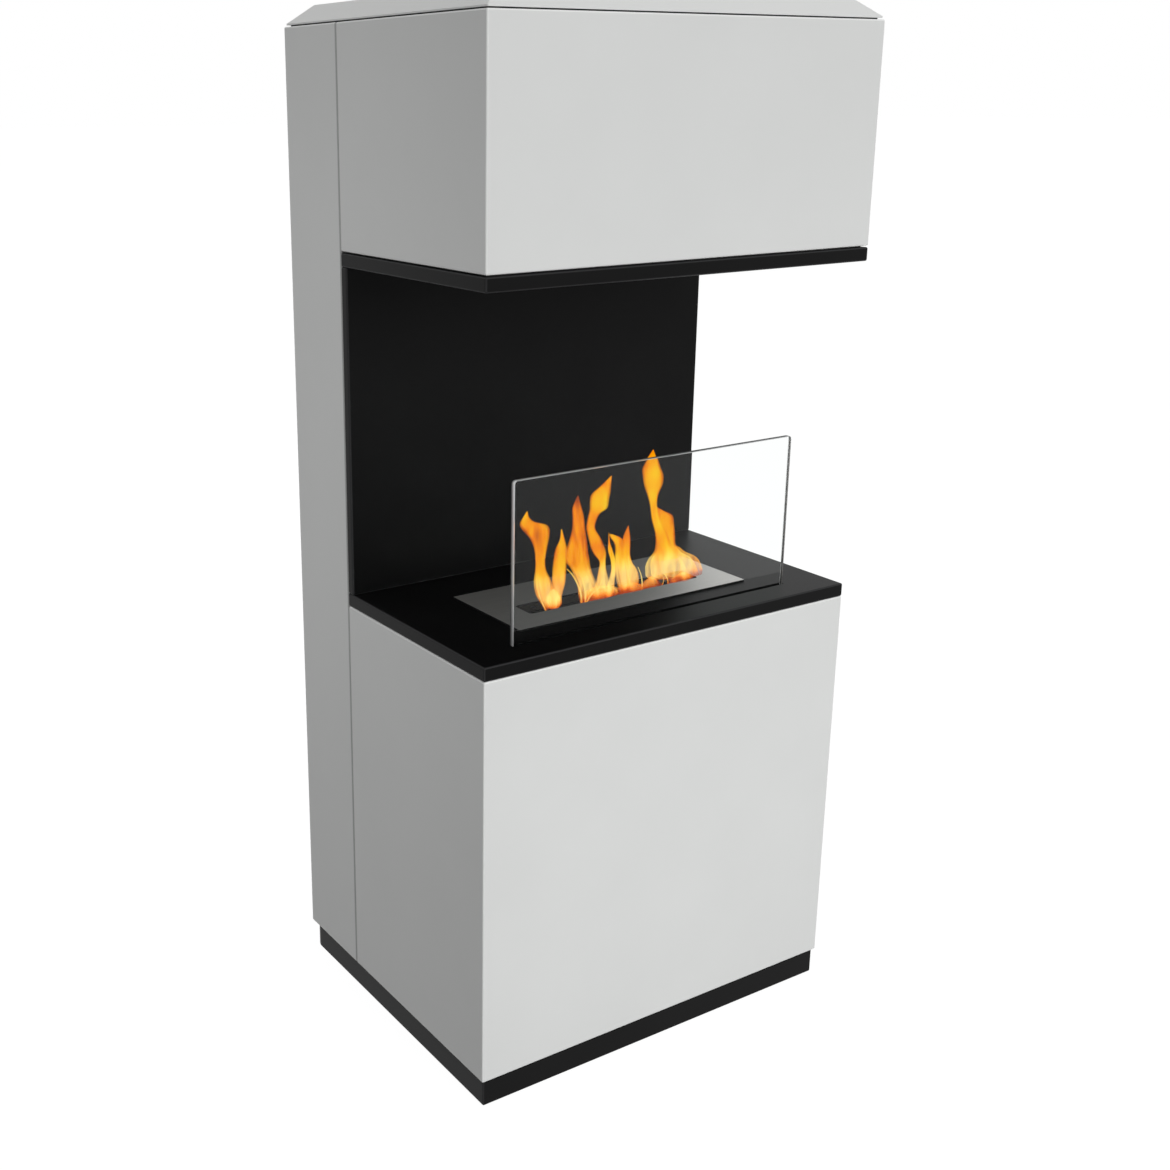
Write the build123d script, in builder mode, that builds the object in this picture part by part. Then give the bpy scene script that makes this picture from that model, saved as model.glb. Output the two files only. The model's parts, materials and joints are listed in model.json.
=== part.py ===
"""Free-standing bioethanol fireplace of folded sheet steel, in millimetres.

+Z is up, +X is to the right seen from the front, and the front faces -Y.
The origin is on the floor, under the middle of the footprint.
"""

from build123d import *

import os
from math import hypot

os.makedirs("parts", exist_ok=True)

# ---------------------------------------------------------------- driving dimensions

# Overall body
body_width = 500.0
body_depth = 400.0  # front face to the face of the back panel
front_depth = 280.0  # hood and lower box, from the front face to the column
sheet = 1.5  # casing sheet
fold = 2.0  # outside radius of a fold
flange = 30.0  # inward flanges that the sheets are bolted through
fit_gap = 1.0  # between a plate and the folded case that it lies in
cut_over = 3.0  # how far a cutting block runs past the face that it opens

# Heights, from the floor up
pad_height = 2.0
plinth_height = 32.0
lower_height = 466.0
table_height = 15.5
recess_opening = 369.5
soffit_height = 15.0
gasket_height = 1.5
hood_height = 232.5
seal_height = 1.5
cap_lip = 1.5
cap_rise = 19.0

# Plinth
plinth_inset = 3.0
plinth_corner = 16.0  # radius of its two rear corners
pad_radius = 11.0

# Floors, firewall and back panel
floor_sheet = 2.0
back_sheet = 1.2
back_inset = 3.0
vent_width = 6.0
vent_length = 60.0
vent_pitch = 24.0
vent_count = 13
vent_from_end = 110.0
wall_hole_radius = 3.5
wall_hole_spacing = 300.0
wall_hole_drop = 50.0  # below the top of the column

# Recess panel and insulation
panel_depth = 12.0
board_thickness = 9.0
board_gap = 0.5

# Top cap
cap_inset = 2.0
cap_slope = 23.0  # how far each side slopes in
cap_flange = 20.0
cap_corner = 1.5
trim_setback = 6.0  # gasket and seal, behind the faces of the body

# Heat shield over the soffit
shield_sheet = 1.0
shield_inset = 24.0
shield_height = 30.0

# Ribs under the table top
rib_width = 20.0
rib_wall = 1.2
rib_front_gap = 6.0

# Glass pane, its slot and its channel
glass_width = 380.0
glass_height = 200.0
glass_thickness = 6.0
glass_corner = 4.0
glass_edge = 0.6
glass_setback = 36.5  # from the front face to the face of the pane
glass_gap = 1.0  # each side of the pane, in the slot
glass_pad_height = 2.0
glass_pad_length = 30.0
glass_pad_from_end = 60.0
channel_depth = 25.0
hanger_flange = 12.0  # flanges that hang a channel or a well under a sheet

# Burner
plate_width = 320.0
plate_depth = 130.0
plate_thickness = 2.0
plate_corner = 2.0
plate_edge = 0.4
plate_lap = 10.0  # how far the plate laps over the cut-out
opening_width = 240.0
opening_depth = 32.0
opening_corner = 4.0
opening_margin = 35.5  # from the plate's front edge to the opening
tank_gap = 5.0  # between the tank and the well, all round
tank_height = 58.0
tank_sheet = 1.0
well_sheet = 1.2
well_depth = 75.0
deck_sheet = 1.2
mouth_depth = 13.0  # open strip of the burner, front to back
shutter_thickness = 1.5
shutter_lap = 4.0
shutter_gap = 0.3
hook_radius = 3.5
hook_spacing = 200.0
guide_strip = 12.0
wool_drop = 11.0  # from the deck down to the screen
wool_gap = 0.5
screen_sheet = 0.8
screen_slot_length = 14.0
screen_slot_width = 4.0
screen_columns = 13
screen_rows = 6
screen_pitch_x = 20.0
screen_pitch_y = 12.0

# Fasteners: M5 through the structure, M4 through the covers
bolt_radius = 2.5
bolt_head_radius = 4.7
bolt_head_height = 2.8
bolt_nut_flats = 8.0
bolt_nut_height = 4.0
screw_radius = 2.0
screw_head_radius = 4.0
screw_head_height = 1.8
screw_nut_flats = 7.0
screw_nut_height = 3.2
thread_end = 2.0  # how far a thread stands out of its nut
hole_slack = 0.3
nut_slack = 0.05
lower_bolt_count = 4
hood_bolt_count = 3
recess_screw_count = 3
back_screw_count = 6
flange_screw_count = 3
row_end = 50.0  # from the end of a sheet to its first fastener

# ---------------------------------------------------------------- derived planes

half_width = body_width / 2
front_y = -(body_depth + screw_head_height) / 2
seam_y = front_y + front_depth
back_y = front_y + body_depth
column_rear_y = back_y - back_sheet
panel_y = seam_y - panel_depth
firewall_y = seam_y + sheet
firewall_rear_y = firewall_y + sheet
middle_y = (front_y + back_y) / 2

base_z = pad_height + plinth_height
lower_top = base_z + lower_height
table_top_z = lower_top + table_height
soffit_bottom = table_top_z + recess_opening
soffit_top = soffit_bottom + soffit_height
hood_bottom = soffit_top + gasket_height
body_top = hood_bottom + hood_height
cap_bottom = body_top + seal_height
table_sheet_z = table_top_z - sheet  # underside of the table's sheet

body_x = (-half_width, half_width)
front_box_y = (front_y, seam_y)
column_y = (seam_y, column_rear_y)
column_middle_y = (seam_y + column_rear_y) / 2
bolt_x = half_width - flange / 2

lower_z = (base_z, lower_top)
table_z = (lower_top, table_top_z)
recess_z = (table_top_z, soffit_bottom)
soffit_z = (soffit_bottom, soffit_top)
hood_z = (hood_bottom, body_top)
column_z = (base_z, body_top)

# ---------------------------------------------------------------- shared shapes


def inset(span, distance):
    """A span drawn in by the same distance at both ends."""
    return (span[0] + distance, span[1] - distance)


def about(centre, half):
    """A span that reaches the same distance to both sides of its centre."""
    return (centre - half, centre + half)


def spread(low, high, count):
    """Evenly spaced places from low to high."""
    return [low + (high - low) * i / (count - 1) for i in range(count)]


def pairs(places, x=bolt_x):
    """Spots at both sides of the body, one pair for each place."""
    return [(side * x, place) for place in places for side in (-1, 1)]


def level(z):
    """The horizontal plane at a height, facing up."""
    return Plane.XY.offset(z)


def upright(y):
    """The upright plane across the body at y, facing the front."""
    return Plane.XZ.offset(-y)


def block(x_span, y_span, z_span, mode=Mode.ADD):
    """A rectangular block between six planes."""
    spans = (x_span, y_span, z_span)
    with Locations(tuple((low + high) / 2 for low, high in spans)):
        Box(*(high - low for low, high in spans), mode=mode)


def window(x_span, y_span, z_span):
    """A rectangular cut-out between six planes."""
    block(x_span, y_span, z_span, Mode.SUBTRACT)


def case(x_span, y_span, z_span, wall):
    """A closed case of folded sheet, rounded outside."""
    block(x_span, y_span, z_span)
    fillet(edges(), fold)
    window(inset(x_span, wall), inset(y_span, wall), inset(z_span, wall))


def tray(x_span, y_span, z_span, wall, mouth):
    """A tray of folded sheet, open on the side that mouth names, such as "+z"."""
    axis = "xyz".index(mouth[1])
    outer = [x_span, y_span, z_span]
    inner = [inset(span, wall) for span in outer]
    beyond = [inset(span, -cut_over) for span in outer]
    low, high = outer[axis]
    if mouth[0] == "+":
        outer[axis] = (low, high + cut_over)
        inner[axis] = (low + wall, high + 2 * cut_over)
        beyond[axis] = (high, high + 2 * cut_over)
    else:
        outer[axis] = (low - cut_over, high)
        inner[axis] = (low - 2 * cut_over, high - wall)
        beyond[axis] = (low - 2 * cut_over, low)
    block(*outer)
    fillet(edges(), fold)
    window(*inner)
    window(*beyond)


def ring(x_span, y_span, z_span, width):
    """A flat rectangular ring of the given width."""
    block(x_span, y_span, z_span)
    window(inset(x_span, width), inset(y_span, width), inset(z_span, -cut_over))


def rods(plane, spots, radius, length):
    """Round bars at spots on a plane, along its normal or, if length is below 0, against it."""
    with BuildSketch(plane) as section:
        with Locations(*spots):
            Circle(radius)
    extrude(section.sketch, amount=length)


def holes(plane, spots, radius):
    """Round holes at spots through the sheet that lies on a plane."""
    with BuildSketch(plane) as section:
        with Locations(*spots):
            Circle(radius)
    extrude(section.sketch, amount=cut_over, both=True, mode=Mode.SUBTRACT)


def hexagons(plane, spots, flats, height, thread):
    """Hexagon nuts at spots on a plane, along its normal or, if height is below 0, against it."""
    with BuildSketch(plane) as section:
        with Locations(*spots):
            RegularPolygon(flats / 2, 6, major_radius=False)
            Circle(thread + nut_slack, mode=Mode.SUBTRACT)
    extrude(section.sketch, amount=height)


def bolt_nuts_on(plane, spots):
    """M5 nuts on the side that the plane turns its back to."""
    hexagons(plane, spots, bolt_nut_flats, -bolt_nut_height, bolt_radius)


def screw_nuts_on(plane, spots):
    """M4 nuts on the side that the plane faces."""
    hexagons(plane, spots, screw_nut_flats, screw_nut_height, screw_radius)


def fasteners(plane, spots, thread, length, head_radius, head_height):
    """Headed fasteners at spots on a plane: head_height leads one way from it, length the other."""
    rods(plane, spots, head_radius, head_height)
    outwards = Axis(plane.origin, plane.z_dir * head_height)
    rims = edges().filter_by(GeomType.CIRCLE).group_by(outwards)[-1]
    fillet(rims, abs(head_height) / 2)
    rods(plane, spots, thread, length)


def bolts(plane, spots, length):
    """M5 bolts whose heads lie on the side that the plane faces."""
    fasteners(plane, spots, bolt_radius, -length, bolt_head_radius, bolt_head_height)


def screws(plane, spots, length):
    """M4 screws whose shanks run to the side that the plane faces."""
    fasteners(plane, spots, screw_radius, length, screw_head_radius, -screw_head_height)


# ---------------------------------------------------------------- rows of fasteners

bolt_hole = bolt_radius + hole_slack
screw_hole = screw_radius + hole_slack

lower_bolt_z = spread(base_z + row_end, lower_top - row_end, lower_bolt_count)
hood_bolt_z = spread(hood_bottom + row_end, body_top - row_end, hood_bolt_count)
seam_bolt_spots = pairs(lower_bolt_z + hood_bolt_z)
recess_screw_spots = pairs(spread(table_top_z + row_end, soffit_bottom - row_end, recess_screw_count))
back_screw_spots = pairs(spread(base_z + row_end, body_top - row_end, back_screw_count))

flange_rows_y = spread(front_y + row_end, seam_y - row_end, flange_screw_count)
flange_screw_spots = pairs(flange_rows_y)
column_pin_spots = pairs([column_middle_y])

floor_bolt_x = half_width - plinth_inset - flange / 2
front_floor_spots = pairs([flange_rows_y[0], flange_rows_y[-1]], floor_bolt_x)
column_floor_spots = pairs([column_middle_y], floor_bolt_x)

# ---------------------------------------------------------------- plinth and feet

plinth_width = body_width - 2 * plinth_inset
plinth_depth = body_depth - 2 * plinth_inset


def plinth_layer(z, height, distance, mode=Mode.ADD):
    """A layer of the plinth, drawn in by a distance, with its two rear corners round."""
    with BuildSketch(level(z)) as section:
        with Locations((0, middle_y)):
            Rectangle(plinth_width - 2 * distance, plinth_depth - 2 * distance)
        fillet(vertices().group_by(Axis.Y)[-1], max(plinth_corner - distance, fold))
    extrude(section.sketch, amount=height, mode=mode)


with BuildPart() as plinth_frame:
    plinth_layer(pad_height, plinth_height, 0)
    front_corners = edges().filter_by(Axis.Z).group_by(Axis.Y)[0]
    rims = faces().filter_by(Axis.Z).edges()
    fillet(front_corners + rims, fold)
    plinth_layer(pad_height + sheet, plinth_height - 2 * sheet, sheet, Mode.SUBTRACT)
    plinth_layer(0, base_z + cut_over, flange, Mode.SUBTRACT)
    holes(level(base_z), front_floor_spots + column_floor_spots, bolt_hole)
plinth_frame.part.label = "plinth_frame"
export_step(plinth_frame.part, "parts/plinth_frame.step")

with BuildPart() as foot_pads:
    pad_rows = inset(about(middle_y, plinth_depth / 2), flange / 2)
    rods(level(0), pairs(pad_rows, floor_bolt_x), pad_radius, pad_height)
foot_pads.part.label = "foot_pads"
export_step(foot_pads.part, "parts/foot_pads.step")

# ---------------------------------------------------------------- lower box

inner_x = inset(body_x, sheet + fit_gap)
front_inner_y = inset(front_box_y, sheet + fit_gap)
floor_top = base_z + sheet + floor_sheet
floor_z = (base_z + sheet, floor_top)
flange_x = inset(body_x, flange)
flange_y = inset(front_box_y, flange)
seam_cut_y = about(seam_y, cut_over)

with BuildPart() as lower_shell:
    case(body_x, front_box_y, lower_z, sheet)
    window(flange_x, flange_y, about(lower_top, cut_over))
    window(flange_x, flange_y, about(base_z, cut_over))
    window(flange_x, seam_cut_y, inset(lower_z, flange))
    holes(upright(seam_y), pairs(lower_bolt_z), bolt_hole)
    holes(level(lower_top), flange_screw_spots, screw_hole)
    holes(level(base_z), front_floor_spots, bolt_hole)
lower_shell.part.label = "lower_shell"
export_step(lower_shell.part, "parts/lower_shell.step")

with BuildPart() as lower_floor:
    block(inner_x, front_inner_y, floor_z)
    holes(level(floor_top), front_floor_spots, bolt_hole)
lower_floor.part.label = "lower_floor"
export_step(lower_floor.part, "parts/lower_floor.step")

# ---------------------------------------------------------------- column

for side, column_x, mouth in (
    ("left", (-half_width, -half_width + flange), "+x"),
    ("right", (half_width - flange, half_width), "-x"),
):
    with BuildPart() as column_side:
        tray(column_x, column_y, column_z, sheet, mouth)
        holes(upright(seam_y), seam_bolt_spots, bolt_hole)
        holes(upright(seam_y), recess_screw_spots, screw_hole)
        holes(upright(column_rear_y), back_screw_spots, screw_hole)
        holes(level(base_z), column_floor_spots, bolt_hole)
        holes(level(body_top), column_pin_spots, screw_hole)
    column_side.part.label = f"column_side_{side}"
    export_step(column_side.part, f"parts/column_side_{side}.step")

with BuildPart() as firewall:
    block(inner_x, (firewall_y, firewall_rear_y), (base_z + sheet, body_top - sheet - fit_gap))
    holes(upright(firewall_y), seam_bolt_spots, bolt_hole)
    holes(upright(firewall_y), recess_screw_spots, screw_hole)
firewall.part.label = "firewall"
export_step(firewall.part, "parts/firewall.step")

with BuildPart() as column_floor:
    block(inner_x, (firewall_rear_y + fit_gap, column_rear_y - sheet - fit_gap), floor_z)
    holes(level(floor_top), column_floor_spots, bolt_hole)
column_floor.part.label = "column_floor"
export_step(column_floor.part, "parts/column_floor.step")

with BuildPart() as back_panel:
    block(inset(body_x, back_inset), (column_rear_y, back_y), inset(column_z, back_inset))
    for vent_z in (base_z + vent_from_end, body_top - vent_from_end):
        with BuildSketch(upright(back_y)):
            with Locations((0, vent_z)):
                with GridLocations(vent_pitch, vent_length, vent_count, 1):
                    SlotOverall(vent_length, vent_width, rotation=90)
        extrude(amount=cut_over, mode=Mode.SUBTRACT)
    holes(upright(back_y), pairs([body_top - wall_hole_drop], wall_hole_spacing / 2), wall_hole_radius)
    holes(upright(back_y), back_screw_spots, screw_hole)
back_panel.part.label = "back_panel"
export_step(back_panel.part, "parts/back_panel.step")

# ---------------------------------------------------------------- back of the recess

with BuildPart() as recess_panel:
    case(body_x, (panel_y, seam_y), recess_z, sheet)
    window(flange_x, seam_cut_y, inset(recess_z, flange))
    holes(upright(seam_y), recess_screw_spots, screw_hole)
recess_panel.part.label = "recess_panel"
export_step(recess_panel.part, "parts/recess_panel.step")

with BuildPart() as recess_board:
    board_y = (panel_y + sheet, panel_y + sheet + board_thickness)
    block(inset(flange_x, board_gap), board_y, inset(recess_z, sheet + board_gap))
recess_board.part.label = "recess_board"
export_step(recess_board.part, "parts/recess_board.step")

# ---------------------------------------------------------------- table top

burner_y = (front_y + panel_y) / 2  # middle of the table that shows
glass_y = front_y + glass_setback + glass_thickness / 2
plate_x = about(0, plate_width / 2)
plate_y = about(burner_y, plate_depth / 2)
cutout_x = inset(plate_x, plate_lap)
cutout_y = inset(plate_y, plate_lap)
slot_x = about(0, glass_width / 2 + glass_gap)
slot_y = about(glass_y, glass_thickness / 2 + glass_gap)

with BuildPart() as table_top:
    case(body_x, front_box_y, table_z, sheet)
    window(flange_x, flange_y, about(lower_top, cut_over))
    window(cutout_x, cutout_y, about(table_top_z, cut_over))
    window(slot_x, slot_y, about(table_top_z, cut_over))
    holes(level(lower_top), flange_screw_spots, screw_hole)
table_top.part.label = "table_top"
export_step(table_top.part, "parts/table_top.step")

rib_x = cutout_x[1] + well_sheet + hanger_flange + fit_gap + rib_width / 2
rib_y = (slot_y[1] + sheet + hanger_flange + rib_front_gap, seam_y - sheet - fit_gap)
rib_z = (lower_top + sheet, table_sheet_z)

for side, rib_centre in (("left", -rib_x), ("right", rib_x)):
    with BuildPart() as table_rib:
        block(about(rib_centre, rib_width / 2), rib_y, rib_z)
        window(about(rib_centre, rib_width / 2 - rib_wall), inset(rib_y, -cut_over), inset(rib_z, rib_wall))
    table_rib.part.label = f"table_rib_{side}"
    export_step(table_rib.part, f"parts/table_rib_{side}.step")

# ---------------------------------------------------------------- glass pane and its channel

channel_floor_z = table_sheet_z - channel_depth
pane_z = (channel_floor_z + glass_pad_height, channel_floor_z + glass_pad_height + glass_height)

with BuildPart() as glass_channel:
    channel_x = inset(slot_x, -sheet)
    channel_y = inset(slot_y, -sheet)
    tray(channel_x, channel_y, (channel_floor_z - sheet, table_sheet_z), sheet, "+z")
    block(channel_x, inset(channel_y, -hanger_flange), (table_sheet_z - sheet, table_sheet_z))
    window(slot_x, slot_y, (channel_floor_z, table_sheet_z + cut_over))
glass_channel.part.label = "glass_channel"
export_step(glass_channel.part, "parts/glass_channel.step")

with BuildPart() as glass_pads:
    pad_middle = glass_width / 2 - glass_pad_from_end
    for pad_centre in (-pad_middle, pad_middle):
        pad_x = about(pad_centre, glass_pad_length / 2)
        block(pad_x, inset(slot_y, glass_gap), (channel_floor_z, pane_z[0]))
glass_pads.part.label = "glass_pads"
export_step(glass_pads.part, "parts/glass_pads.step")

with BuildPart() as glass_pane:
    block(about(0, glass_width / 2), about(glass_y, glass_thickness / 2), pane_z)
    fillet(edges().filter_by(Axis.Y), glass_corner)
    faces_of_pane = edges().group_by(Axis.Y)
    chamfer(faces_of_pane[0] + faces_of_pane[-1], glass_edge)
glass_pane.part.label = "glass_pane"
export_step(glass_pane.part, "parts/glass_pane.step")

# ---------------------------------------------------------------- burner well

with BuildPart() as burner_well:
    well_x = inset(cutout_x, -well_sheet)
    well_y = inset(cutout_y, -well_sheet)
    tray(well_x, well_y, (table_sheet_z - well_depth, table_sheet_z), well_sheet, "+z")
    hanger_z = (table_sheet_z - well_sheet, table_sheet_z)
    block(inset(well_x, -hanger_flange), inset(well_y, -hanger_flange), hanger_z)
    window(cutout_x, cutout_y, (table_sheet_z - well_depth + well_sheet, table_sheet_z + cut_over))
burner_well.part.label = "burner_well"
export_step(burner_well.part, "parts/burner_well.step")

# ---------------------------------------------------------------- burner

opening_x = about(0, opening_width / 2)
opening_y = (plate_y[0] + opening_margin, plate_y[0] + opening_margin + opening_depth)
tank_x = inset(cutout_x, tank_gap)
tank_y = inset(cutout_y, tank_gap)
tank_z = (table_top_z - tank_height, table_top_z)
tank_inner_x = inset(tank_x, tank_sheet)
tank_inner_y = inset(tank_y, tank_sheet)
shutter_travel = mouth_depth + shutter_lap
shutter_x = inset(opening_x, -shutter_lap)
shutter_y = (opening_y[0] + mouth_depth, opening_y[1] + shutter_travel + shutter_lap)
shutter_z = (table_top_z - shutter_gap - shutter_thickness, table_top_z - shutter_gap)
deck_z = (shutter_z[0] - shutter_gap - deck_sheet, shutter_z[0] - shutter_gap)
screen_z = (deck_z[0] - wool_drop - screen_sheet, deck_z[0] - wool_drop)
fill_x = inset(tank_inner_x, wool_gap)
fill_y = inset(tank_inner_y, wool_gap)

with BuildPart() as burner_plate:
    block(plate_x, plate_y, (table_top_z, table_top_z + plate_thickness))
    fillet(edges().filter_by(Axis.Z), plate_corner)
    chamfer(edges().group_by(Axis.Z)[-1], plate_edge)
    with BuildSketch(level(table_top_z)):
        with Locations((0, sum(opening_y) / 2)):
            RectangleRounded(opening_width, opening_depth, opening_corner)
    extrude(amount=plate_thickness, mode=Mode.SUBTRACT)
burner_plate.part.label = "burner_plate"
export_step(burner_plate.part, "parts/burner_plate.step")

with BuildPart() as burner_tank:
    tray(tank_x, tank_y, tank_z, tank_sheet, "+z")
burner_tank.part.label = "burner_tank"
export_step(burner_tank.part, "parts/burner_tank.step")

with BuildPart() as burner_deck:
    block(tank_inner_x, tank_inner_y, deck_z)
    window(opening_x, (opening_y[0], shutter_y[0]), inset(deck_z, -cut_over))
burner_deck.part.label = "burner_deck"
export_step(burner_deck.part, "parts/burner_deck.step")

with BuildPart() as shutter_guide:
    guide_x = inset(shutter_x, -shutter_gap)
    guide_y = (shutter_y[0] - shutter_travel - shutter_gap, shutter_y[1] + shutter_gap)
    block(inset(guide_x, -guide_strip), inset(guide_y, -guide_strip), (deck_z[1], table_top_z))
    window(guide_x, guide_y, (deck_z[1] - cut_over, table_top_z + cut_over))
shutter_guide.part.label = "shutter_guide"
export_step(shutter_guide.part, "parts/shutter_guide.step")

with BuildPart() as shutter:
    block(shutter_x, shutter_y, shutter_z)
    hook_y = (shutter_y[0] + opening_y[1]) / 2
    holes(level(shutter_z[1]), pairs([hook_y], hook_spacing / 2), hook_radius)
shutter.part.label = "shutter"
export_step(shutter.part, "parts/shutter.step")

with BuildPart() as wool_screen:
    block(fill_x, fill_y, screen_z)
    with BuildSketch(level(screen_z[0])):
        with Locations((0, burner_y)):
            with GridLocations(screen_pitch_x, screen_pitch_y, screen_columns, screen_rows):
                SlotOverall(screen_slot_length, screen_slot_width)
    extrude(amount=screen_sheet, mode=Mode.SUBTRACT)
wool_screen.part.label = "wool_screen"
export_step(wool_screen.part, "parts/wool_screen.step")

with BuildPart() as burner_wool:
    block(fill_x, fill_y, (tank_z[0] + tank_sheet, screen_z[0]))
burner_wool.part.label = "burner_wool"
export_step(burner_wool.part, "parts/burner_wool.step")

# ---------------------------------------------------------------- hood

with BuildPart() as hood_shell:
    case(body_x, front_box_y, hood_z, sheet)
    window(flange_x, flange_y, about(hood_bottom, cut_over))
    window(flange_x, flange_y, about(body_top, cut_over))
    window(flange_x, seam_cut_y, inset(hood_z, flange))
    holes(upright(seam_y), pairs(hood_bolt_z), bolt_hole)
    holes(level(hood_bottom), flange_screw_spots, screw_hole)
    holes(level(body_top), flange_screw_spots, screw_hole)
hood_shell.part.label = "hood_shell"
export_step(hood_shell.part, "parts/hood_shell.step")

with BuildPart() as heat_shield:
    shield_z = (hood_bottom + sheet, hood_bottom + sheet + shield_height)
    tray(inset(body_x, shield_inset), inset(front_box_y, shield_inset), shield_z, shield_sheet, "-z")
heat_shield.part.label = "heat_shield"
export_step(heat_shield.part, "parts/heat_shield.step")

with BuildPart() as soffit_tray:
    case(body_x, front_box_y, soffit_z, sheet)
    window(flange_x, flange_y, about(soffit_top, cut_over))
soffit_tray.part.label = "soffit_tray"
export_step(soffit_tray.part, "parts/soffit_tray.step")

with BuildPart() as soffit_board:
    board_z = (soffit_bottom + sheet, soffit_bottom + sheet + board_thickness)
    block(inset(flange_x, board_gap), inset(flange_y, board_gap), board_z)
soffit_board.part.label = "soffit_board"
export_step(soffit_board.part, "parts/soffit_board.step")

with BuildPart() as soffit_gasket:
    gasket_x = inset(body_x, trim_setback)
    gasket_y = inset(front_box_y, trim_setback)
    ring(gasket_x, gasket_y, (soffit_top, hood_bottom), flange - trim_setback)
    holes(level(hood_bottom), flange_screw_spots, screw_hole)
soffit_gasket.part.label = "soffit_gasket"
export_step(soffit_gasket.part, "parts/soffit_gasket.step")

# ---------------------------------------------------------------- top cap

crown_y = (front_y, column_rear_y)
cap_x = inset(body_x, cap_inset)
cap_y = inset(crown_y, cap_inset)
shoulder_z = cap_bottom + cap_lip
cap_top = shoulder_z + cap_rise
hollow_top = cap_top - sheet
hollow_slope = cap_slope * (hollow_top - shoulder_z) / cap_rise
wall_run = sheet * hypot(cap_slope, cap_rise) / cap_rise  # the sloping wall, measured level


def cap_section(z, distance):
    """A level rectangle of the cap, drawn in by a distance."""
    with BuildSketch(level(z)) as section:
        with Locations((0, sum(cap_y) / 2)):
            Rectangle(cap_x[1] - cap_x[0] - 2 * distance, cap_y[1] - cap_y[0] - 2 * distance)
    return section.sketch


with BuildPart() as top_cap:
    extrude(cap_section(cap_bottom, 0), amount=cap_lip)
    loft([cap_section(shoulder_z, 0), cap_section(cap_top, cap_slope)], ruled=True)
    top_edges = edges().group_by(Axis.Z)[-1]
    hips = edges().filter_by(lambda edge: shoulder_z + cut_over < edge.center().Z < cap_top - cut_over)
    fillet(top_edges + hips + edges().filter_by(Axis.Z), cap_corner)
    hollow_sections = [cap_section(shoulder_z, wall_run), cap_section(hollow_top, wall_run + hollow_slope)]
    loft(hollow_sections, ruled=True, mode=Mode.SUBTRACT)
    window(inset(cap_x, cap_flange), inset(cap_y, cap_flange), about(cap_bottom, cut_over))
    holes(level(cap_bottom), flange_screw_spots + column_pin_spots, screw_radius)
top_cap.part.label = "top_cap"
export_step(top_cap.part, "parts/top_cap.step")

with BuildPart() as cap_pins:
    # Pressed into the cap's flange; they locate it on the body.
    pin_z = body_top - sheet - thread_end
    rods(level(pin_z), flange_screw_spots + column_pin_spots, screw_radius, shoulder_z - pin_z)
cap_pins.part.label = "cap_pins"
export_step(cap_pins.part, "parts/cap_pins.step")

with BuildPart() as cap_seal:
    # Bonded under the cap's flange.
    seal_width = cap_inset + cap_flange - trim_setback
    ring(inset(body_x, trim_setback), inset(crown_y, trim_setback), (body_top, cap_bottom), seal_width)
    holes(level(cap_bottom), flange_screw_spots + column_pin_spots, screw_hole)
cap_seal.part.label = "cap_seal"
export_step(cap_seal.part, "parts/cap_seal.step")

# ---------------------------------------------------------------- bolts, screws, studs and nuts


def shank(thickness, nut_height):
    """Length of a shank through sheets of that thickness, a nut and a little more."""
    return thickness + nut_height + thread_end


with BuildPart() as plinth_bolts:
    # Down through the floor plates and the lower flanges into the plinth.
    bolt_length = shank(floor_sheet + 2 * sheet, bolt_nut_height)
    floor_spots = front_floor_spots + column_floor_spots
    bolts(level(floor_top), floor_spots, bolt_length)
plinth_bolts.part.label = "plinth_bolts"
export_step(plinth_bolts.part, "parts/plinth_bolts.step")

with BuildPart() as seam_bolts:
    # Backwards through the rear flanges of lower box and hood, the column's flange and the firewall.
    bolt_length = shank(3 * sheet, bolt_nut_height)
    bolts(upright(seam_y - sheet), seam_bolt_spots, bolt_length)
seam_bolts.part.label = "seam_bolts"
export_step(seam_bolts.part, "parts/seam_bolts.step")

with BuildPart() as bolt_nuts:
    bolt_nuts_on(level(base_z - sheet), floor_spots)
    bolt_nuts_on(upright(firewall_rear_y), seam_bolt_spots)
bolt_nuts.part.label = "bolt_nuts"
export_step(bolt_nuts.part, "parts/bolt_nuts.step")

with BuildPart() as back_screws:
    # From behind through the back panel into the column's rear flanges.
    screw_length = shank(back_sheet + sheet, screw_nut_height)
    screws(upright(back_y), back_screw_spots, screw_length)
back_screws.part.label = "back_screws"
export_step(back_screws.part, "parts/back_screws.step")

with BuildPart() as recess_screws:
    # From the column through firewall and flange into the recess panel.
    screw_length = shank(3 * sheet, screw_nut_height)
    screws(upright(firewall_rear_y), recess_screw_spots, screw_length)
recess_screws.part.label = "recess_screws"
export_step(recess_screws.part, "parts/recess_screws.step")

with BuildPart() as table_screws:
    # From inside the lower box up into the table top.
    screw_length = shank(2 * sheet, screw_nut_height)
    screws(level(lower_top - sheet), flange_screw_spots, screw_length)
table_screws.part.label = "table_screws"
export_step(table_screws.part, "parts/table_screws.step")

with BuildPart() as soffit_studs:
    # Welded on the soffit tray's flange, up through the gasket and the hood's lower flange.
    stud_length = shank(gasket_height + sheet, screw_nut_height)
    rods(level(soffit_top), flange_screw_spots, screw_radius, stud_length)
soffit_studs.part.label = "soffit_studs"
export_step(soffit_studs.part, "parts/soffit_studs.step")

with BuildPart() as screw_nuts:
    screw_nuts_on(upright(column_rear_y - sheet), back_screw_spots)
    screw_nuts_on(upright(seam_y - sheet), recess_screw_spots)
    screw_nuts_on(level(lower_top + sheet), flange_screw_spots)
    screw_nuts_on(level(hood_bottom + sheet), flange_screw_spots)
screw_nuts.part.label = "screw_nuts"
export_step(screw_nuts.part, "parts/screw_nuts.step")
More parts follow.
